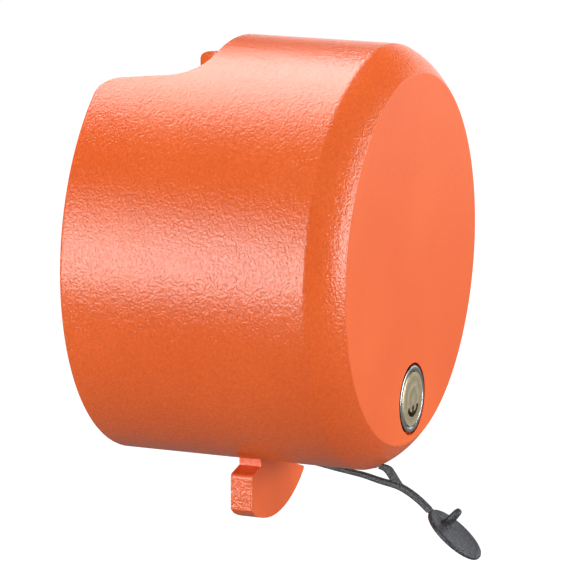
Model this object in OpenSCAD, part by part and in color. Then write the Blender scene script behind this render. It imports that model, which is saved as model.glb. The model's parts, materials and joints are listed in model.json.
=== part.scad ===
// Trailer kingpin lock: a thick steel cup that swallows the pin, a sliding
// keyhole plate that grips the pin's waist, and a key cylinder that holds the
// plate. The pin's axis is Y. The front face looks along -Y, +Z is up, and the
// origin is the centre of the collar's bore at its mouth, just inside the lead-in.
// "Depth" is always measured backwards from the front face.

/* [Housing] */
// Outside diameter of the housing
shell_d = 157; // [152:1:190]
// Front face to rear rim
shell_depth = 106.3; // [96:0.1:130]
// Thickness of the round wall
wall_t = 8.5; // [7:0.1:9.5]
// Thickness of the front wall
front_t = 12; // [10:0.5:13]
// How far the front chamfer runs back
chamfer_depth = 11.7; // [10:0.1:14]
// How far the front chamfer runs inwards
chamfer_in = 10; // [8:0.1:12]
// How far the chamfer's middle stands out from a straight one
chamfer_bulge = 1.7; // [1:0.1:2]

/* [Rim notch] */
// Width of the notch at its floor
notch_w = 75.5; // [50:0.5:80]
// Length of the notch from the rear rim
notch_l = 37.5; // [25:0.1:39.5]
// Sideways offset of the notch from the top
notch_off = 2.7; // [0:0.1:6]

/* [Kingpin] */
// Bore of the guide collar, for a pin of 73 mm
bore_d = 74; // [60:0.5:76]
// Length of the guide collar behind its flange
collar_l = 21.3; // [12:0.1:26]
// Lead-in at the collar's mouth
lead_in = 2; // [1:0.1:4]
// Waist slot of the keyhole plate, for a waist of 50.8 mm
waist_d = 52; // [51.4:0.1:54]

/* [Keyhole plate] */
// Thickness of the plate
plate_t = 8.6; // [7:0.1:10.5]
// Depth of the plate's front side
plate_depth = 53; // [52:0.1:54]
// Travel from gripping to released
plate_travel = 20; // [18:0.5:21]
// Width of the neck that leaves the housing
neck_w = 35.6; // [32:0.1:38]
// Width of the pull grip
grip_w = 51.6; // [46:0.1:56]
// How far the grip reaches below the housing, plate gripping
grip_drop = 22.7; // [16:0.1:28]

/* [Key cylinder] */
// Outside diameter of the cylinder's bezel
bezel_d = 25; // [23:0.1:26]
// Distance of the key cylinder below the pin's axis
lock_drop = 52.5; // [51.8:0.1:53.2]
// Diameter of the turning plug
plug_d = 20; // [16.6:0.1:20.4]
// Number of detainer discs in the plug
disc_count = 9; // [5:1:10]

/* [Dust cap and strap] */
// Diameter of the cap's disc
cap_d = 25; // [22:0.5:27]
// Thickness of the strap
strap_d = 2.6; // [2:0.1:3.2]

/* [Clearances] */
// Gap between parts that slide past each other
slide_gap = 0.3; // [0.2:0.05:0.4]
// Radial gap of the turning plug
plug_gap = 0.05; // [0.02:0.01:0.08]
// Radial gap of fixed parts in their holes
seat_gap = 0.2; // [0.05:0.05:0.3]
// Radial gap of screws in their tapped holes
thread_gap = 0.02; // [0.01:0.01:0.05]

/* [Hidden] */
$fn = 96;
eps = 0.5;

// Radii of the housing
shell_r = shell_d / 2;
inner_r = shell_r - wall_t;
inside_r = inner_r - seat_gap;
edge_r = 1.6;
side_edge_r = 4;
bulge_r = 0.75 * pow(norm([chamfer_in, chamfer_depth]) / 2, 2) / chamfer_bulge;
rim_r = 1.2;
// Notch: how far each side flares out at the rim, and the radii of its corners
notch_flare = 6;
notch_floor_r = 14;
notch_rim_r = 9;
// Depths of the channel that the plate slides in
channel_front = plate_depth - slide_gap;
channel_rear = plate_depth + plate_t + slide_gap;
flange_t = 4.8;
flange_rear = channel_rear + flange_t;
collar_rear = flange_rear + collar_l;
mouth_depth = collar_rear - lead_in;
// Pocket for the pin's head, and its rubber floor
bore_r = bore_d / 2;
waist_r = waist_d / 2;
pocket_r = bore_r + 0.5;
pocket_depth = 18;
buffer_t = 3;
buffer_r = bore_r - 2;
collar_r = bore_r + 8;
// Plate
plate_half_w = 50;
plate_r = inner_r - 1;
neck_half = neck_w / 2;
grip_half = grip_w / 2;
grip_side = -0.4;
grip_r = 44.8;
grip_y = grip_r - shell_r - grip_drop;
grip_x = -3.3;
shoulder_left = -shell_r - 1.9;
shoulder_right = -shell_r - 8.2;
// Key cylinder, depths of its parts
bezel_r = bezel_d / 2;
lock_hole_r = bezel_r + seat_gap + 0.1;
barrel_r = bezel_r - 0.1;
plug_r = plug_d / 2;
barrel_bore_r = plug_r + plug_gap;
bezel_l = 2.5;
bezel_proud = 0.2;
bezel_hole_r = plug_r + 0.25;
bezel_slope = 0.8;
bezel_recess_r = bezel_r + 1;
barrel_front = bezel_l;
barrel_rear = 47;
plug_front = -0.4;
plug_rear = 37;
disc_room_r = plug_r - 2.1;
disc_r = disc_room_r - 0.3;
disc_t = 2.4;
disc_pitch = 2.9;
plug_face_t = 5;
room_front = plug_front + plug_face_t;
first_disc = room_front + 0.3;
sidebar_r = 1.2;
sidebar_at = plug_r - 1.3;
crank_pin_r = 3.5;
crank_throw = plug_r - crank_pin_r - 0.3;
crank_slot_r = crank_pin_r + slide_gap;
crank_rear = 46;
crank_pin_bite = 6;
spigot_l = 5;
dowel_r = 1.2;
dowel_depth = plug_rear - spigot_l / 2;
seal_depth = 8;
seal_r = 0.62;
seal_groove_r = 0.95;
barrel_dowel_depth = 30;
barrel_dowel_r = 2;
barrel_dowel_bite = 1.2;
barrel_dowel_l = inner_r - lock_drop - barrel_r + barrel_dowel_bite;
// Hard rods beside the cylinder
guard_r = 2.5;
guard_at = lock_hole_r + 5;
guard_rear = 42;
// Screws
block_screw_at = [43, 30];
block_screw_r = 4;
block_screw_tip = 6;
block_head_r = 6.5;
block_head_l = 8;
block_head_sink = 0.6;
block_head_front = channel_front - block_head_l - block_head_sink;
block_hex = 6.9;
retainer_screw_at = [58, 18];
retainer_screw_r = 3;
retainer_screw_tip = 40;
retainer_hex = 4.6;
retainer_hex_l = 2.2;
sink = 3.2;
// Drag units beside the pocket
drag_at = bore_r + 7.5;
drag_r = 4;
drag_floor = 30;
drag_pad_l = 9;
drag_wire_r = 0.5;
drag_turns = 6;
// Tether: places as [depth, height] in the middle plane
anchor_front = 15.6;
anchor_rear = 47;
stud_r = 1.6;
stud_l = 6;
stud_head_r = 2.4;
stud_head_t = 1.6;
stud_tip = shell_r + stud_head_t;
cap_at = [-17.1, -102.6];
cap_t = 1.8;
cap_tilt = -50;
cap_yaw = 6;
cap_rim_r = 8.6;
cap_rim_h = 1.2;
cap_rim_t = 1.5;
cap_grip_h = 8;
cap_grip_t = 3.6;
cap_grip_w = 4;
cap_grip_at = 4.8;
strap_route = [[44.4, -79.95], [40, -80.4], [35, -81.1], [29.2, -82], [23.8, -82.7],
    [18.5, -83.5], [12.5, -84.9], [8, -85.7], [4.6, -86.5], [0.6, -88.4], [-3.4, -91.1],
    [-7.1, -94.3]];
front_leg_route = [[12.9, -79.6], [11, -79.7], [9.1, -80.6], [7.9, -82.1], [6.9, -83.5]];
front_leg_r = 0.9;

orange = [0.94, 0.42, 0.25];
steel = [0.62, 0.63, 0.64];
dark_steel = [0.35, 0.36, 0.38];
bright = [0.82, 0.82, 0.8];
brass = [0.72, 0.63, 0.42];
rubber = [0.2, 0.21, 0.22];
nylon = [0.9, 0.89, 0.84];

// Height of a depth while the housing lies on its mouth
function level(depth) = mouth_depth - depth;
function unit(v) = v / norm(v);

// Points of one corner b between a and c, rounded with radius r
function corner(a, b, c, r, n = 6) =
    let (u = unit(a - b), v = unit(c - b), half = acos(u * v) / 2)
    let (m = b + unit(u + v) * r / sin(half), p = b + u * r / tan(half) - m)
    let (turn = (180 - 2 * half) * sign(p[0] * (v[1] - u[1]) - p[1] * (v[0] - u[0])))
    [for (i = [0:n]) let (t = turn * i / n)
        m + [p[0] * cos(t) - p[1] * sin(t), p[0] * sin(t) + p[1] * cos(t)]];

// Closed outline with each corner [x, y, radius] rounded
function rounded(pts) = let (k = len(pts))
    [for (i = [0:k - 1])
        let (a = pts[(i + k - 1) % k], b = pts[i], c = pts[(i + 1) % k])
        each (b[2] == 0 ? [[b[0], b[1]]]
            : corner([a[0], a[1]], [b[0], b[1]], [c[0], c[1]], b[2]))];

// Stands the housing up: the lying model's Z becomes -Y
module upright() { rotate([90, 0, 0]) children(); }

// A flat shape made solid between two depths
module slab(from, to) {
    translate([0, 0, level(to)]) linear_extrude(to - from) children();
}

// A round bar between two depths
module bar(r, from, to) {
    translate([0, 0, level(to)]) cylinder(r = r, h = to - from);
}

// A copy of the children at each of four mirrored places
module four(at) {
    for (sx = [-1, 1], sy = [-1, 1]) translate([sx * at[0], sy * at[1], 0]) children();
}

// A copy of the children on the left and on the right of the middle plane
module both(across) {
    for (side = [-1, 1]) translate([side * across, 0, 0]) children();
}

module at_lock() { translate([0, -lock_drop, 0]) children(); }

module guard_places() { at_lock() both(guard_at) children(); }

// Cup-shaped housing
module shell_profile() {
    out = unit([chamfer_depth, chamfer_in]) * chamfer_bulge;
    polygon(rounded([
        [0, level(0), 0],
        [shell_r - chamfer_in, level(0), edge_r],
        [shell_r - chamfer_in / 2 + out[0], level(chamfer_depth / 2) + out[1], bulge_r],
        [shell_r, level(chamfer_depth), side_edge_r],
        [shell_r, level(shell_depth), rim_r],
        [inner_r, level(shell_depth), rim_r],
        [inner_r, level(front_t), edge_r],
        [0, level(front_t), 0]]));
}

// Notch seen from above: x across, y is depth
module notch_outline() {
    half = notch_w / 2;
    mouth = half + notch_flare;
    beyond = mouth + 3 * notch_rim_r;
    floor_at = shell_depth - notch_l;
    past_rim = shell_depth + notch_rim_r;
    polygon(rounded([
        [-half, floor_at, notch_floor_r], [-mouth, shell_depth, notch_rim_r],
        [-beyond, shell_depth, 0], [-beyond, past_rim, 0],
        [beyond, past_rim, 0], [beyond, shell_depth, 0],
        [mouth, shell_depth, notch_rim_r], [half, floor_at, notch_floor_r]]));
}

module notch_cut() {
    translate([notch_off, 0, mouth_depth]) rotate([-90, 0, 0])
        linear_extrude(shell_r + eps) notch_outline();
}

module shell() {
    color(orange) upright() difference() {
        rotate_extrude($fn = 180) shell_profile();
        notch_cut();
        at_lock() bar(lock_hole_r, -eps, front_t + eps);
        at_lock() bar(bezel_recess_r, -eps, bezel_l + seat_gap);
        four(block_screw_at) bar(block_screw_r, block_screw_tip, front_t + eps);
        // Slot for the plate's neck
        slab(channel_front, channel_rear) translate([0, -inner_r - wall_t / 2])
            square([neck_w + 2 * slide_gap, wall_t * 3], center = true);
        for (d = [anchor_front, anchor_rear])
            stud_hole(d) cylinder(r = stud_r, h = stud_l + eps);
    }
}

// Looks down into the underside at a depth: z runs inwards from the wall's surface
module stud_hole(depth) {
    translate([0, -shell_r - eps, level(depth)]) rotate([-90, 0, 0]) children();
}

// Block that fills the front of the cup and holds everything else
module core_block() {
    color(steel) upright() difference() {
        bar(inside_r, front_t, channel_front);
        bar(inside_r + 1, front_t - eps, front_t + edge_r);
        bar(pocket_r, pocket_depth, channel_front + eps);
        at_lock() bar(lock_hole_r, front_t, channel_front + eps);
        four(block_screw_at) block_screw_hole();
        four(retainer_screw_at)
            bar(retainer_screw_r, retainer_screw_tip - 1, channel_front + eps);
        both(drag_at) bar(drag_r, drag_floor, channel_front + eps);
        guard_places() bar(guard_r, front_t, guard_rear);
        barrel_dowel_hole();
    }
    color(steel) upright() core_nose();
}

// Stepped front of the block, clear of the corner inside the cup
module core_nose() {
    difference() {
        bar(inside_r - edge_r, front_t, front_t + edge_r);
        at_lock() bar(lock_hole_r, front_t - eps, front_t + 2 * edge_r);
        four(block_screw_at) bar(block_screw_r + seat_gap, front_t - eps, front_t + 5);
        guard_places() bar(guard_r, front_t - eps, front_t + 5);
    }
}

module block_screw_hole() {
    bar(block_screw_r + seat_gap, front_t - eps, channel_front + eps);
    bar(block_head_r + seat_gap, block_head_front, channel_front + eps);
}

module block_screws() {
    head_rear = block_head_front + block_head_l;
    color(dark_steel) upright() four(block_screw_at) difference() {
        union() {
            bar(block_screw_r - thread_gap, block_screw_tip + 0.5, block_head_front);
            bar(block_head_r, block_head_front, head_rear);
        }
        translate([0, 0, level(head_rear) - eps])
            cylinder(d = block_hex, h = block_head_l / 2 + eps, $fn = 6);
    }
}

// Spacer beside the channel, on one side
module rail(side) {
    upright() difference() {
        slab(channel_front, channel_rear) intersection() {
            circle(r = inside_r);
            translate([side * (plate_half_w + slide_gap + 20), 0])
                square([40, 2 * shell_r], center = true);
        }
        four(retainer_screw_at)
            bar(retainer_screw_r + seat_gap, channel_front - eps, channel_rear + eps);
    }
}

module guide_rail_left() { color(dark_steel) rail(-1); }
module guide_rail_right() { color(dark_steel) rail(1); }

// Flange that closes the channel
module retainer_plate() {
    color(steel) upright() difference() {
        bar(inside_r, channel_rear, flange_rear);
        bar(collar_r + thread_gap, channel_rear - eps, flange_rear + eps);
        four(retainer_screw_at) screw_seat(retainer_screw_r + seat_gap);
    }
}

// Collar in the flange's hole, which guides the pin
module guide_collar() {
    color(steel) upright() difference() {
        bar(collar_r, channel_rear, collar_rear);
        bar(bore_r, channel_rear - eps, collar_rear + eps);
        translate([0, 0, level(collar_rear) - eps])
            cylinder(r1 = bore_r + lead_in + eps, r2 = bore_r, h = lead_in + eps);
    }
}

// Countersunk hole or head, opening at the flange's rear
module screw_seat(r) {
    bar(r, channel_rear - eps, flange_rear + eps);
    translate([0, 0, level(flange_rear)]) cylinder(r1 = r + sink, r2 = r, h = sink);
}

module retainer_screws() {
    r = retainer_screw_r - thread_gap;
    head = sink - seat_gap;
    color(dark_steel) upright() four(retainer_screw_at) difference() {
        union() {
            bar(r, retainer_screw_tip, flange_rear - 1);
            translate([0, 0, level(flange_rear)]) cylinder(r1 = r + head, r2 = r, h = head);
        }
        translate([0, 0, level(flange_rear) - eps])
            cylinder(d = retainer_hex, h = retainer_hex_l + eps, $fn = 6);
    }
}

// Rubber floor of the pocket
module pin_buffer() {
    color(rubber) upright() bar(buffer_r, pocket_depth, pocket_depth + buffer_t);
}

// Keyhole plate: grips the pin's waist here, slides down by its travel to let go
module locking_plate() {
    color(orange) upright() slab(plate_depth, plate_depth + plate_t) difference() {
        union() {
            plate_body();
            translate([-neck_half, -shell_r - 10]) square([neck_w, shell_r]);
            polygon(grip_outline());
        }
        circle(r = waist_r);
        translate([0, plate_travel]) circle(r = bore_r + 0.3);
        translate([-waist_r, 0]) square([waist_d, plate_travel]);
        crank_slot();
    }
}

module plate_body() {
    intersection() {
        circle(r = plate_r);
        translate([0, plate_travel]) circle(r = plate_r);
        square([2 * plate_half_w, 2 * shell_r], center = true);
    }
}

// Pull grip: two shoulders under the neck and a round lower edge
function grip_outline() =
    let (left = -grip_half + grip_side, right = grip_half + grip_side)
    let (a1 = 180 + acos((grip_x - left) / grip_r) + 4)
    let (a2 = 360 - acos((right - grip_x) / grip_r))
    concat(
        corner([left + 4, shoulder_left + 0.8], [left, shoulder_left - 0.6],
            [left, shoulder_left - 10], 1.5),
        [[left, grip_y + grip_r * sin(a1) + 2.2]],
        [for (i = [0:12]) let (a = a1 + (a2 - a1) * i / 12)
            [grip_x + grip_r * cos(a), grip_y + grip_r * sin(a)]],
        [[right + 0.3, grip_y + grip_r * sin(a2) + 1.2],
         [neck_half, shoulder_right], [neck_half, shoulder_left + 8],
         [-neck_half, shoulder_left + 8], [-neck_half, shoulder_left + 1.2]]);

// Where the crank pin runs: a straight channel with a quarter turn at each end
module crank_slot() {
    translate([-crank_slot_r, -lock_drop - crank_throw])
        square([2 * crank_slot_r, plate_travel]);
    for (lift = [0, plate_travel]) translate([0, lift - lock_drop]) {
        translate([0, -crank_throw]) circle(r = crank_slot_r);
        translate([-crank_throw, 0]) circle(r = crank_slot_r);
        intersection() {
            difference() {
                circle(r = crank_throw + crank_slot_r);
                circle(r = crank_throw - crank_slot_r);
            }
            translate([-2 * crank_throw, -2 * crank_throw]) square(2 * crank_throw);
        }
    }
}

// One coil spring standing between two levels
module coil(r, wire_r, turns, low, high) {
    steps = 14;
    sides = 8;
    count = turns * steps;
    function spot(i, j) =
        let (a = 360 * i / steps, b = 360 * j / sides, q = r + wire_r * cos(b))
        [q * cos(a), q * sin(a), low + wire_r + (high - low - 2 * wire_r) * i / count
            + wire_r * sin(b)];
    points = [for (i = [0:count], j = [0:sides - 1]) spot(i, j)];
    walls = [for (i = [0:count - 1], j = [0:sides - 1])
        let (a = i * sides + j, b = i * sides + (j + 1) % sides)
        [a, b, b + sides, a + sides]];
    last = count * sides;
    polyhedron(points, concat(walls, [[for (j = [sides - 1:-1:0]) j]],
        [[for (j = [0:sides - 1]) last + j]]));
}

module drag_springs() {
    pad_front = channel_front - drag_pad_l;
    color(bright) upright() both(drag_at)
        coil(drag_r - 1, drag_wire_r, drag_turns, level(pad_front) + 0.1,
            level(drag_floor) - 0.1);
}

// Nylon pads that press on the plate and keep it where it is put
module drag_pads() {
    color(nylon) upright() both(drag_at)
        bar(drag_r - 0.1, channel_front - drag_pad_l, channel_front);
}

// Tube of the key cylinder
module lock_barrel() {
    color(steel) upright() difference() {
        at_lock() bar(barrel_r, barrel_front, barrel_rear);
        at_lock() bar(barrel_bore_r, barrel_front - eps, barrel_rear + eps);
        at_lock() translate([0, 0, level(seal_depth)])
            rotate_extrude() translate([barrel_r, 0]) circle(r = seal_groove_r, $fn = 24);
        barrel_dowel_hole();
    }
}

// Bright ring around the plug, just proud of the front face and sloping in to the plug
module barrel_bezel() {
    color(bright) upright() at_lock() rotate_extrude() polygon(rounded([
        [bezel_hole_r, level(bezel_slope - bezel_proud), 0],
        [bezel_hole_r + bezel_slope, level(-bezel_proud), 0.3],
        [bezel_r, level(-bezel_proud), 0.6],
        [bezel_r, level(bezel_l), 0], [bezel_hole_r, level(bezel_l), 0]]));
}

module barrel_seal() {
    seal_at = lock_hole_r - seal_r - 0.05;
    color(rubber) upright() at_lock() translate([0, 0, level(seal_depth)])
        rotate_extrude() translate([seal_at, 0]) circle(r = seal_r, $fn = 24);
}

// Runs up into the barrel from the block's underside
module barrel_dowel_place() {
    translate([0, -inner_r, level(barrel_dowel_depth)]) rotate([-90, 0, 0]) children();
}

module barrel_dowel_hole() {
    barrel_dowel_place() cylinder(r = barrel_dowel_r, h = barrel_dowel_l + 0.4);
}

module barrel_dowel() {
    color(dark_steel) upright() barrel_dowel_place() translate([0, 0, 0.5])
        cylinder(r = barrel_dowel_r - 0.05, h = barrel_dowel_l - 0.5);
}

// Hard rods that turn a drill aside
module drill_guard_pins() {
    color(dark_steel) upright() guard_places()
        bar(guard_r - 0.05, front_t + 0.1, guard_rear - seat_gap);
}

// Crescent keyway with three prongs standing on it
module keyway() {
    outer = 0.67 * plug_r;
    inner = 0.5 * plug_r;
    half = 0.54 * plug_r;
    prong = 0.2 * plug_r;
    top = -0.26 * plug_r;
    intersection() {
        circle(r = outer);
        union() {
            difference() {
                translate([-half, -outer]) square([2 * half, outer - inner + prong]);
                circle(r = inner);
            }
            for (x = [-half, -prong / 2, half - prong])
                translate([x, -outer]) square([prong, outer + top]);
        }
    }
}

// Turning plug: a face with the keyway and a hollow for the discs
module plug() {
    color(brass) upright() at_lock() difference() {
        bar(plug_r, plug_front, plug_rear);
        bar(disc_room_r, room_front, plug_rear + eps);
        slab(plug_front - eps, room_front + eps) keyway();
        slab(room_front, plug_rear - spigot_l - 0.5) translate([-sidebar_r - 0.1, 0])
            square([2 * sidebar_r + 0.2, plug_r + eps]);
        dowel_place() cylinder(r = dowel_r, h = plug_r + eps);
    }
}

module dowel_place() {
    translate([0, 0, level(dowel_depth)]) rotate([0, 90, 0]) children();
}

module detainer_discs() {
    color(brass) upright() at_lock() for (i = [0:disc_count - 1]) {
        front = first_disc + i * disc_pitch;
        slab(front, front + disc_t) difference() {
            circle(r = disc_r);
            keyway();
            translate([0, sidebar_at]) circle(r = sidebar_r + 0.15);
        }
    }
}

module sidebar() {
    color(steel) upright() at_lock() translate([0, sidebar_at, 0])
        bar(sidebar_r, first_disc, plug_rear - spigot_l - 0.8);
}

// Closes the plug's rear and carries the crank pin
module crank_disc() {
    color(dark_steel) upright() at_lock() difference() {
        union() {
            bar(disc_room_r - thread_gap, plug_rear - spigot_l, plug_rear + 1);
            bar(plug_r, plug_rear, crank_rear);
        }
        translate([0, -crank_throw, 0])
            bar(crank_pin_r, crank_rear - crank_pin_bite, crank_rear + eps);
        dowel_place() cylinder(r = dowel_r, h = plug_r + eps);
    }
}

module crank_pin() {
    color(bright) upright() at_lock() translate([0, -crank_throw, 0])
        bar(crank_pin_r - thread_gap / 2, crank_rear - crank_pin_bite + 0.1,
            plate_depth + plate_t - 1);
}

module crank_dowel() {
    color(dark_steel) upright() at_lock() dowel_place()
        translate([0, 0, 0.4]) cylinder(r = dowel_r - thread_gap, h = plug_r - 0.8);
}

// Push-in stud under the housing, with a round head outside
module anchor(depth) {
    color(rubber) upright() translate([0, -stud_tip, level(depth)]) rotate([-90, 0, 0])
        rotate_extrude() polygon(rounded([
            [0, 0, 0], [stud_head_r, 0, 0.8], [stud_head_r, stud_head_t - 0.1, 0.2],
            [stud_r - 0.05, stud_head_t - 0.1, 0], [stud_r - 0.05, stud_head_t + stud_l, 0.5],
            [0, stud_head_t + stud_l, 0]]));
}

module tether_anchor_front() { anchor(anchor_front); }
module tether_anchor_rear() { anchor(anchor_rear); }

// Round strap along a route in the middle plane, from [depth, height] points
module strap(route, r) {
    sides = 10;
    last = len(route) - 1;
    function ahead(i) = unit(route[min(i + 1, last)] - route[max(i - 1, 0)]);
    function spot(i, j) = let (a = 360 * j / sides, t = ahead(i))
        [r * cos(a), route[i][1] + r * sin(a) * t[0], level(route[i][0]) + r * sin(a) * t[1]];
    points = [for (i = [0:last], j = [0:sides - 1]) spot(i, j)];
    walls = [for (i = [0:last - 1], j = [0:sides - 1])
        let (a = i * sides + j, b = i * sides + (j + 1) % sides)
        [a, b, b + sides, a + sides]];
    polyhedron(points, concat(walls, [[for (j = [sides - 1:-1:0]) j]],
        [[for (j = [0:sides - 1]) last * sides + j]]));
}

module tether_strap() { color(rubber) upright() strap(strap_route, strap_d / 2); }

module tether_front_leg() { color(rubber) upright() strap(front_leg_route, front_leg_r); }

// Dust cap hanging from the strap: disc, inner rim and finger grip
module dust_cap() {
    foot = cap_grip_t / 2;
    top = foot - 0.4;
    color(rubber) upright() translate([0, cap_at[1], level(cap_at[0])])
        rotate([cap_tilt, 0, 0]) rotate([0, cap_yaw, 0]) {
            cylinder(d = cap_d, h = cap_t, center = true);
            translate([0, 0, -cap_t / 2 - cap_rim_h]) difference() {
                cylinder(r = cap_rim_r, h = cap_rim_h + 0.2);
                translate([0, 0, -eps]) cylinder(r = cap_rim_r - cap_rim_t, h = cap_rim_h + eps);
            }
            translate([0, cap_grip_at, cap_t / 2 - 0.2]) rotate([90, 0, 90])
                translate([0, 0, -cap_grip_w / 2]) linear_extrude(cap_grip_w) polygon(rounded([
                    [-foot, 0, 0], [foot, 0, 0],
                    [top, cap_grip_h, 1.1], [-top, cap_grip_h, 1.1]]));
        }
}

shell();
core_block();
block_screws();
guide_rail_left();
guide_rail_right();
retainer_plate();
guide_collar();
retainer_screws();
pin_buffer();
locking_plate();
drag_springs();
drag_pads();
lock_barrel();
barrel_bezel();
barrel_seal();
barrel_dowel();
drill_guard_pins();
plug();
detainer_discs();
sidebar();
crank_disc();
crank_pin();
crank_dowel();
tether_anchor_front();
tether_anchor_rear();
tether_front_leg();
tether_strap();
dust_cap();
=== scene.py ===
import json
import math

import bmesh
import bpy
from mathutils import Matrix, Vector


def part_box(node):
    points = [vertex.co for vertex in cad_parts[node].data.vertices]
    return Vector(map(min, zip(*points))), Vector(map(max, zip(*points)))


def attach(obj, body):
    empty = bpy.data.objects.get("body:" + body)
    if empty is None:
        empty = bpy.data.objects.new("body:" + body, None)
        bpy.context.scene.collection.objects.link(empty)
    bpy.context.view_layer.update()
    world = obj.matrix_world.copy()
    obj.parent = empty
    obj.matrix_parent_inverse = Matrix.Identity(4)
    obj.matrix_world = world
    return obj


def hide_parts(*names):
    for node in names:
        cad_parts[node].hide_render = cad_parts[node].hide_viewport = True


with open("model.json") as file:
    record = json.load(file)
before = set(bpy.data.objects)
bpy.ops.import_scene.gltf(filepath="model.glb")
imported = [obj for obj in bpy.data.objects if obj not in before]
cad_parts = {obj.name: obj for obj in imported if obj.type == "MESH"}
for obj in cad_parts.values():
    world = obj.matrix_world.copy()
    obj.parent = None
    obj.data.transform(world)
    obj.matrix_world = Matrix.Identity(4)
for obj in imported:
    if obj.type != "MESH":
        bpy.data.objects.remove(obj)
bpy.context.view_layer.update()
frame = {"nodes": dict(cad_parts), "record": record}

NODES = frame["nodes"]
MM = 0.001


def corners(node):
    low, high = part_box(node)
    return Vector(low), Vector(high)


# ---------------------------------------------------------------- places
SHELL_LOW, SHELL_HIGH = corners("shell")
FRONT_Y = SHELL_LOW.y
FRONT = Vector((0, FRONT_Y, 0))
BEZEL_LOW, BEZEL_HIGH = corners("barrel_bezel")
LOCK = Vector((0, FRONT_Y, (BEZEL_LOW.z + BEZEL_HIGH.z) / 2))
BEZEL_R = BEZEL_HIGH.x

# The strap's route in the middle plane, as (depth, height) in mm
STRAP_ROUTE = [
    (44.4, -79.95), (40, -80.4), (35, -81.1), (29.2, -82), (23.8, -82.7), (18.5, -83.5),
    (12.5, -84.9), (8, -85.7), (4.6, -86.5), (0.6, -88.4), (-3.4, -91.1), (-7.1, -94.3)]
# The front leg's route, then on into the strap
LEG_ROUTE = [(12.9, -79.6), (11, -79.7), (9.1, -80.6), (7.9, -82.1), (6.9, -83.5)]
LEG_JOIN = [(5.9, -85), (4.9, -86.4)]
STRAP_D = 2.6 * MM
LEG_HALF_WIDTH = 0.7 * MM
CAP_CENTRE = (-17.1, -102.6)
CAP_TILT = -50
CAP_YAW = 6


def behind_front(depth, height):
    """Point in the middle plane, from a depth and a height in mm."""
    return Vector((0, FRONT_Y + depth * MM, height * MM))


# ---------------------------------------------------------------- camera
# Azimuth and elevation in degrees, and distance in metres, from the front face
CAMERA_FROM = (-69.867, 12.18, 1.5918)
CAMERA_AIM = Vector((-0.01847, FRONT_Y + 0.04187, -0.01031))
LENS = 271.83


def direction(azimuth, elevation):
    """Unit vector; azimuth 0 looks at the front face, positive towards +X."""
    a, e = math.radians(azimuth), math.radians(elevation)
    return Vector((math.sin(a) * math.cos(e), -math.cos(a) * math.cos(e), math.sin(e)))


def look_at(obj, target):
    obj.rotation_euler = (target - obj.location).to_track_quat("-Z", "Y").to_euler()


def make_camera():
    data = bpy.data.cameras.new("camera")
    data.sensor_width = 36
    data.lens = LENS
    data.clip_end = 100
    camera = bpy.data.objects.new("camera", data)
    azimuth, elevation, distance = CAMERA_FROM
    camera.location = FRONT + direction(azimuth, elevation) * distance
    look_at(camera, CAMERA_AIM)
    bpy.context.scene.collection.objects.link(camera)
    bpy.context.scene.camera = camera


# ---------------------------------------------------------------- light
LIT = FRONT + Vector((0, 0.05, 0))
WORLD_LOW = 0.06
WORLD_HIGH = 0.12
# Azimuth and elevation in degrees from which the world's glow is strongest
GLOW_FROM = (-10, 15)
FLOOR_DROP = 0.3
FLOOR_HALF = 12
FLOOR_GLOW = 0.06


def softbox(name, azimuth, elevation, distance, width, height, power):
    """Rectangular lamp aimed at the housing, in degrees, metres and watts."""
    data = bpy.data.lights.new(name, "AREA")
    data.shape = "RECTANGLE"
    data.size = width
    data.size_y = height
    data.energy = power
    lamp = bpy.data.objects.new(name, data)
    lamp.visible_camera = False
    lamp.location = LIT + direction(azimuth, elevation) * distance
    look_at(lamp, LIT)
    bpy.context.scene.collection.objects.link(lamp)


def make_light():
    softbox("overhead", 140, 60, 1.6, 1.5, 1.0, 32)
    softbox("side_broad", -114, -4, 1.7, 0.9, 2.0, 24)
    softbox("side_core", -114, -4, 1.6, 0.7, 0.9, 11.5)
    softbox("front_fill", 20, 12, 2.2, 1.4, 1.3, 26)
    softbox("front_low", -4, -14, 2.0, 0.9, 2.1, 50)
    softbox("backdrop", 85, -6, 2.4, 2.6, 2.0, 16)


def only_for_camera(tree):
    """1 for what the camera sees directly, 0 for the light that falls on the object."""
    return tree.nodes.new("ShaderNodeLightPath").outputs["Is Camera Ray"]


def make_world():
    """White behind the object; as light, a soft glow that is stronger from the front."""
    world = bpy.data.worlds.new("studio")
    world.use_nodes = True
    tree = world.node_tree
    glow = tree.nodes["Background"]
    way = tree.nodes.new("ShaderNodeTexCoord")
    towards = tree.nodes.new("ShaderNodeVectorMath")
    towards.name = "towards_front"
    towards.operation = "DOT_PRODUCT"
    towards.inputs[1].default_value = direction(*GLOW_FROM)
    tree.links.new(way.outputs["Generated"], towards.inputs[0])
    level = tree.nodes.new("ShaderNodeMapRange")
    level.name = "glow_level"
    level.inputs["From Min"].default_value = -0.2
    level.inputs["To Min"].default_value = WORLD_LOW
    level.inputs["To Max"].default_value = WORLD_HIGH
    tree.links.new(towards.outputs["Value"], level.inputs["Value"])
    tree.links.new(level.outputs["Result"], glow.inputs["Strength"])
    glow.inputs["Color"].default_value = (1, 1, 1, 1)
    plain = tree.nodes.new("ShaderNodeBackground")
    plain.inputs["Color"].default_value = (1, 1, 1, 1)
    mix = tree.nodes.new("ShaderNodeMixShader")
    tree.links.new(only_for_camera(tree), mix.inputs["Fac"])
    tree.links.new(glow.outputs["Background"], mix.inputs[1])
    tree.links.new(plain.outputs["Background"], mix.inputs[2])
    tree.links.new(mix.outputs["Shader"], tree.nodes["World Output"].inputs["Surface"])
    bpy.context.scene.world = world
    bpy.context.scene.view_settings.view_transform = "Standard"


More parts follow.
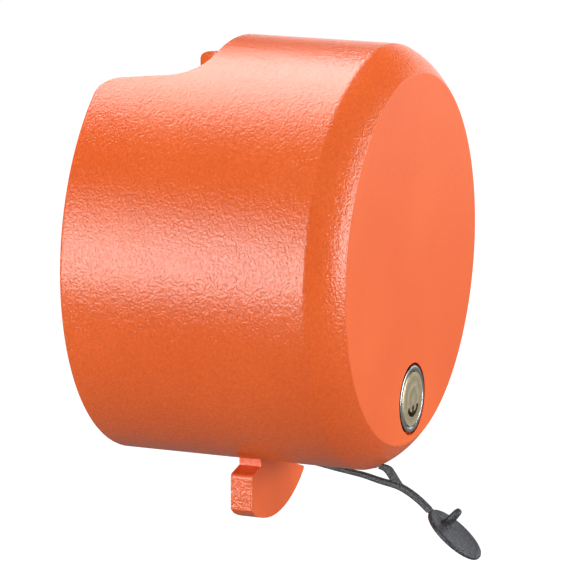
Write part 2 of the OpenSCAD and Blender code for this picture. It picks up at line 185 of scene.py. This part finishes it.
def make_floor():
    level = SHELL_LOW.z - FLOOR_DROP
    mesh = bpy.data.meshes.new("floor")
    signs = ((-1, -1), (1, -1), (1, 1), (-1, 1))
    mesh.from_pydata([(x * FLOOR_HALF, y * FLOOR_HALF, level) for x, y in signs], [],
                     [(0, 1, 2, 3)])
    floor = bpy.data.objects.new("floor", mesh)
    bpy.context.scene.collection.objects.link(floor)
    paint = Shade("pale_floor", (0.08, 0.08, 0.08), 0.9)
    paint.shader("Emission Color", (1, 1, 1, 1))
    paint.link(paint.ramp(only_for_camera(paint.tree), FLOOR_GLOW, 1), "Emission Strength")
    floor.data.materials.append(paint.material)


# ---------------------------------------------------------------- materials
class Shade:
    """A Principled material built node by node, in object space."""

    def __init__(self, name, colour, roughness, metallic=0.0):
        self.material = bpy.data.materials.new(name)
        self.material.use_nodes = True
        self.tree = self.material.node_tree
        self.bsdf = self.tree.nodes["Principled BSDF"]
        self.shader("Base Color", (*colour, 1))
        self.shader("Roughness", roughness)
        self.shader("Metallic", metallic)

    def shader(self, socket, value):
        self.bsdf.inputs[socket].default_value = value

    def feed(self, socket, value):
        """Gives a socket a value: another node's output, a number or a vector."""
        if isinstance(value, bpy.types.NodeSocket):
            self.tree.links.new(value, socket)
        else:
            socket.default_value = value

    def add(self, kind, **inputs):
        node = self.tree.nodes.new(kind)
        for key, value in inputs.items():
            self.feed(node.inputs[key], value)
        return node

    def place(self, stretch=(1, 1, 1), location=(0, 0, 0)):
        where = self.tree.nodes.new("ShaderNodeTexCoord")
        mapping = self.add("ShaderNodeMapping", Vector=where.outputs["Object"],
                           Scale=stretch, Location=location)
        return mapping.outputs["Vector"]

    def noise(self, scale, detail=3.0, roughness=0.5, distortion=0.0, **place):
        node = self.add("ShaderNodeTexNoise", Vector=self.place(**place), Scale=scale,
                        Detail=detail, Roughness=roughness, Distortion=distortion)
        return node.outputs["Fac"]

    def ramp(self, value, low, high, start=0.0, end=1.0):
        node = self.add("ShaderNodeMapRange", Value=value)
        for key, number in (("From Min", start), ("From Max", end), ("To Min", low),
                            ("To Max", high)):
            node.inputs[key].default_value = number
        return node.outputs["Result"]

    def math(self, operation, a, b=0.0):
        node = self.tree.nodes.new("ShaderNodeMath")
        node.operation = operation
        for socket, value in zip(node.inputs, (a, b)):
            self.feed(socket, value)
        return node.outputs[0]

    def mix(self, factor, a, b, blend="MIX"):
        """Blends colour b into colour a as far as the factor says."""
        node = self.tree.nodes.new("ShaderNodeMix")
        node.data_type = "RGBA"
        node.blend_type = blend
        self.feed(node.inputs["Factor"], factor)
        # The Mix node's colour sockets share their names with others: 6 is A, 7 is B
        for socket, value in ((node.inputs[6], a), (node.inputs[7], b)):
            self.feed(socket, (*value, 1) if isinstance(value, tuple) else value)
        return node.outputs[2]

    def link(self, value, socket):
        self.tree.links.new(value, self.bsdf.inputs[socket])

    def bump(self, height, distance, strength=1.0):
        node = self.add("ShaderNodeBump", Height=height, Distance=distance,
                        Strength=strength)
        self.link(node.outputs["Normal"], "Normal")


def facing(shade, axis):
    """How far the true surface looks along +-axis, 0 to 1."""
    geometry = shade.tree.nodes.new("ShaderNodeNewGeometry")
    convert = shade.tree.nodes.new("ShaderNodeVectorTransform")
    convert.vector_type = "NORMAL"
    convert.convert_from = "WORLD"
    convert.convert_to = "OBJECT"
    shade.tree.links.new(geometry.outputs["True Normal"], convert.inputs[0])
    split = shade.tree.nodes.new("ShaderNodeSeparateXYZ")
    shade.tree.links.new(convert.outputs[0], split.inputs[0])
    return shade.math("ABSOLUTE", split.outputs[axis])


def orange_coat():
    """Glossy powder coat with orange peel, smoother on faces that look along Y."""
    shade = Shade("orange_coat", (0.8, 0.16, 0.04), 0.3)
    shade.shader("IOR", 1.5)
    flat = shade.ramp(facing(shade, "Y"), 0, 1, 0.9, 0.98)
    cloud = shade.noise(18, 2)
    colour = shade.mix(shade.ramp(cloud, 0, 1, 0.35, 0.65), (0.9, 0.14, 0.027),
                       (0.95, 0.16, 0.033))
    shade.link(shade.ramp(flat, 0.22, 0.38), "Roughness")
    peel = shade.noise(1040, 1, 0.5, 0.5)
    wave = shade.noise(420, 1, 0.5)
    height = shade.math("ADD", peel, shade.math("MULTIPLY", wave, 0.5))
    depth = shade.ramp(flat, 1, 0.2)
    # Painted shade: the base colour is darker in the dimples of the peel than on the crests,
    # less so on faces that look along Y
    dimple_shade = shade.mix(shade.ramp(peel, 0, 1, 0.32, 0.68), (0.88, 0.84, 0.82), (1, 1, 1))
    shade.link(shade.mix(shade.ramp(flat, 1, 0.3), colour, dimple_shade, "MULTIPLY"), "Base Color")
    shade.bump(shade.math("MULTIPLY", height, depth), 0.2 * MM, 1.0)
    return shade.material


def steel(name, colour, roughness, grain=900, stretch=(1, 1, 1)):
    """Machined steel with a fine grain and faint stains."""
    shade = Shade(name, colour, roughness, 1.0)
    dark = tuple(0.78 * c for c in colour)
    lines = shade.noise(grain, 4, 0.6, stretch=stretch)
    stain = shade.noise(35, 3)
    shade.link(shade.mix(shade.ramp(stain, 0, 1, 0.3, 0.7), dark, colour), "Base Color")
    shade.link(shade.ramp(lines, roughness * 0.75, roughness * 1.35), "Roughness")
    shade.bump(lines, 0.02 * MM, 0.5)
    return shade.material


def turned(name, centre, colour, roughness, pitch, gap_shade_radius=None):
    """Metal faced on a lathe: fine rings around an axis along Y.

    Beyond the radius given as the last argument, what lies behind the front face is painted
    dark: painted shade in the gap round the bezel.
    """
    shade = Shade(name, colour, roughness, 1.0)
    split = shade.add("ShaderNodeSeparateXYZ", Vector=shade.place(location=-centre))
    x, z = split.outputs["X"], split.outputs["Z"]
    squares = shade.math("ADD", shade.math("MULTIPLY", x, x), shade.math("MULTIPLY", z, z))
    radius = shade.math("SQRT", squares)
    wobble = shade.noise(90, 2)
    shifted = shade.math("ADD", radius, shade.math("MULTIPLY", wobble, 0.6 * MM))
    rings = shade.math("SINE", shade.math("MULTIPLY", shifted, 2 * math.pi / pitch))
    broad = shade.math("SINE", shade.math("MULTIPLY", shifted, 2 * math.pi / (5 * pitch)))
    dark = tuple(0.6 * c for c in colour)
    tone = shade.ramp(shade.math("ADD", rings, broad), 0, 1, -2, 2)
    tint = shade.mix(tone, dark, colour)
    if gap_shade_radius:
        # Painted shade: the outer wall behind the front face is made near black, as the
        # shadow in the gap round the bezel
        sunk = shade.ramp(split.outputs["Y"], 0, 1, 0.02 * MM, 0.08 * MM)
        outside = shade.ramp(radius, 0, 1, gap_shade_radius - 0.15 * MM, gap_shade_radius - 0.1 * MM)
        tint = shade.mix(shade.math("MULTIPLY", sunk, outside), tint, (0.02, 0.01, 0.008))
    shade.link(tint, "Base Color")
    shade.link(shade.ramp(shade.noise(500, 3), roughness * 0.8, roughness * 1.3), "Roughness")
    shade.bump(rings, 0.01 * MM, 0.6)
    return shade.material


def strap_rubber():
    """Black rubber with a pale speckle of dust."""
    shade = Shade("strap_rubber", (0.05, 0.055, 0.06), 0.55)
    dust = shade.noise(1100, 2, 0.7)
    colour = shade.mix(shade.ramp(dust, 0, 1, 0.38, 0.62), (0.022, 0.025, 0.03),
                       (0.085, 0.094, 0.106))
    shade.link(colour, "Base Color")
    shade.link(shade.ramp(shade.noise(300, 2), 0.4, 0.6), "Roughness")
    shade.bump(shade.noise(1100, 2, 0.6), 0.16 * MM, 1.0)
    return shade.material


def pad_nylon():
    """Off-white nylon with faint clouds."""
    shade = Shade("pad_nylon", (0.82, 0.8, 0.72), 0.45)
    shade.link(shade.mix(shade.noise(200, 2), (0.78, 0.76, 0.66), (0.86, 0.84, 0.78)),
               "Base Color")
    shade.bump(shade.noise(900, 2), 0.02 * MM, 0.5)
    return shade.material


def make_materials():
    """One material for each slot of the record."""
    return {
        "orange_coat": orange_coat(),
        "block_steel": steel("block_steel", (0.56, 0.57, 0.58), 0.34, 700, (1, 0.15, 1)),
        "black_steel": steel("black_steel", (0.06, 0.06, 0.065), 0.38),
        "hard_steel": steel("hard_steel", (0.66, 0.67, 0.68), 0.2),
        # The bezel is given painted shade on its wall behind the front face, beyond its own
        # radius
        "bezel_steel": turned("bezel_steel", LOCK, (0.8, 0.82, 0.84), 0.2, 0.2 * MM,
                              BEZEL_R),
        "plug_brass": turned("plug_brass", LOCK, (0.97, 0.84, 0.56), 0.38, 0.9 * MM),
        "strap_rubber": strap_rubber(),
        "pad_nylon": pad_nylon(),
    }


# Width in mm of the rounding on the edges of the nodes that are seen close by
SOFT_EDGES = {"locking_plate": 0.7, "core_block": 0.4, "barrel_bezel": 0.12, "plug": 0.12}
# Edges that turn by more than this, in degrees, are rounded
EDGE_ANGLE = 40


def dress_frame(materials):
    """Gives every CAD node its record slot's material, and soft edges where seen."""
    slots = {s["node"]: s["material_slot"] for s in frame["record"]["subparts"]}
    for name, node in NODES.items():
        node.data.materials.clear()
        node.data.materials.append(materials[slots[name]])
    for name, width in SOFT_EDGES.items():
        bevel = NODES[name].modifiers.new("edge", "BEVEL")
        bevel.width = width * MM
        bevel.segments = 3
        bevel.limit_method = "ANGLE"
        bevel.angle_limit = math.radians(EDGE_ANGLE)
        bevel.harden_normals = True


# ---------------------------------------------------------------- rubber parts
# Edges that turn by more than this, in degrees, are shaded sharp
SHARP_ANGLE = 50


def smooth(points, steps=6):
    """Catmull-Rom curve through the points."""
    last = len(points) - 1
    out = []
    for i in range(last):
        a, b = points[max(i - 1, 0)], points[i]
        c, d = points[i + 1], points[min(i + 2, last)]
        for k in range(steps):
            t = k / steps
            out.append(0.5 * (2 * b + (c - a) * t + (2 * a - 5 * b + 4 * c - d) * t * t
                              + (3 * b - a - 3 * c + d) * t ** 3))
    return out + [points[-1]]


def rounded_ring(half_x, half_n, corner, count=5):
    """Outline of a rounded rectangle as (across, thick) pairs."""
    ring = []
    for sx, sn, start in ((1, 1, 0), (-1, 1, 90), (-1, -1, 180), (1, -1, 270)):
        for k in range(count):
            a = math.radians(start + 90 * k / (count - 1))
            ring.append((sx * (half_x - corner) + corner * math.cos(a),
                         sn * (half_n - corner) + corner * math.sin(a)))
    return ring


def new_piece(name, verts, faces, material, node):
    """A rubber piece that rides on the housing and stands for a CAD node."""
    mesh = bpy.data.meshes.new(name)
    mesh.from_pydata(verts, [], faces)
    work = bmesh.new()
    work.from_mesh(mesh)
    bmesh.ops.remove_doubles(work, verts=work.verts, dist=1e-6)
    bmesh.ops.recalc_face_normals(work, faces=work.faces)
    work.to_mesh(mesh)
    work.free()
    mesh.materials.append(material)
    mesh.shade_smooth()
    mesh.set_sharp_from_angle(angle=math.radians(SHARP_ANGLE))
    piece = bpy.data.objects.new(name, mesh)
    bpy.context.scene.collection.objects.link(piece)
    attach(piece, "housing")
    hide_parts(node)
    return piece


def loft(rings):
    """Vertices and faces of a closed solid through rings of equally many points."""
    size = len(rings[0])
    last = (len(rings) - 1) * size
    faces = []
    for start in range(0, last, size):
        for j in range(size):
            a, b = start + j, start + (j + 1) % size
            faces.append((a, b, b + size, a + size))
    faces.append(tuple(range(size - 1, -1, -1)))
    faces.append(tuple(range(last, last + size)))
    return [point for ring in rings for point in ring], faces


def tape(name, points, half_x, half_n, corner, material, node):
    """A flat strap swept along points that lie in the middle plane."""
    across = Vector((1, 0, 0))
    last = len(points) - 1
    rings = []
    for i, point in enumerate(points):
        along = (points[min(i + 1, last)] - points[max(i - 1, 0)]).normalized()
        up = along.cross(across).normalized()
        ring = rounded_ring(half_x, half_n(i / last), corner)
        rings.append([point + across * x + up * n for x, n in ring])
    return new_piece(name, *loft(rings), material, node)


def swelling(start, gain, pace):
    """Half thickness along a tape, from values in mm: it gains evenly, then stays."""
    return lambda t: (start + gain * min(1, pace * t)) * MM


def make_strap(material):
    """Forked strap: it grows from its stud to the fork, and the leg tapers to its own."""
    route = smooth([behind_front(d, h) for d, h in STRAP_ROUTE])
    strap = tape("tether_strap_rubber", route, STRAP_D / 2, swelling(0.6, 0.55, 1.35),
                 0.45 * MM, material, "tether_strap")
    leg_route = smooth([behind_front(d, h) for d, h in LEG_ROUTE + LEG_JOIN])
    leg = tape("tether_leg_rubber", leg_route, LEG_HALF_WIDTH, swelling(0.8, 0.85, 3),
               0.35 * MM, material, "tether_front_leg")


# The cap lies flat while it is drawn, with its finger grip upwards, in mm
CAP_PLACE = (Matrix.Translation(behind_front(*CAP_CENTRE))
             @ Matrix.Rotation(math.radians(90 + CAP_TILT), 4, "X")
             @ Matrix.Rotation(math.radians(CAP_YAW), 4, "Y"))
# Disc with a rolled edge and an inner rim: radius and height, from the middle of the
# outer face round to the middle of the inner face
DISC_PROFILE = [
    (0, 0.55), (9.6, 0.5), (10.6, 0.72), (11.6, 0.82), (12.2, 0.7), (12.48, 0.3),
    (12.48, -0.4), (12.3, -0.78), (11.9, -0.9), (8.7, -0.9), (8.6, -1.2),
    (8.5, -1.85), (8.3, -2.05), (7.6, -2.08), (7.3, -1.9), (7.2, -1.0), (0, -0.95)]
DISC_SIDES = 72
# Finger grip: height, half length and half thickness
GRIP_LEVELS = [
    (0.3, 2.9, 2.5), (0.9, 2.3, 2.0), (1.7, 2.05, 1.7), (3.5, 1.95, 1.6), (5.5, 1.9, 1.5),
    (7.0, 1.8, 1.4), (7.8, 1.55, 1.15), (8.25, 1.1, 0.75), (8.42, 0.5, 0.3)]
GRIP_AT = 4.8
# Neck between strap and disc: distance from the cap's middle, half width, half thickness
NECK_STATIONS = [
    (13.3, 1.25, 0.95), (12.9, 1.3, 0.92), (12.4, 1.5, 0.86), (11.9, 2.0, 0.8),
    (11.4, 2.9, 0.74), (10.8, 3.6, 0.6)]
NECK_CORNER = 0.4


def on_cap(x, y, z):
    return CAP_PLACE @ (Vector((x, y, z)) * MM)


def turned_disc(profile, sides):
    """Vertices and faces of a profile turned about the cap's axis."""
    verts, faces = [], []
    for k in range(sides):
        a = 2 * math.pi * k / sides
        verts += [on_cap(r * math.cos(a), r * math.sin(a), z) for r, z in profile]
    size = len(profile)
    for k in range(sides):
        for j in range(size - 1):
            a, b = k * size + j, (k + 1) % sides * size + j
            faces.append((a, b, b + 1, a + 1))
    return verts, faces


def make_cap(material):
    """Dust cap: disc with the finger grip and the neck that belong to it."""
    cap = new_piece("dust_cap_disc", *turned_disc(DISC_PROFILE, DISC_SIDES), material,
                    "dust_cap")
    grip = [[on_cap(x, GRIP_AT + y, z)
             for x, y in rounded_ring(half_x, half_y, min(half_x, half_y) * 0.8)]
            for z, half_x, half_y in GRIP_LEVELS]
    neck = [[on_cap(x, y, z) for x, z in rounded_ring(half_x, half_z, NECK_CORNER)]
            for y, half_x, half_z in NECK_STATIONS]
    for name, rings in (("dust_cap_grip", grip), ("dust_cap_neck", neck)):
        piece = new_piece(name, *loft(rings), material, "dust_cap")
        piece.parent = cap
    return cap


make_camera()
shades = make_materials()
dress_frame(shades)
dust_cap = make_cap(shades["strap_rubber"])
make_strap(shades["strap_rubber"])
make_light()
make_world()
make_floor()
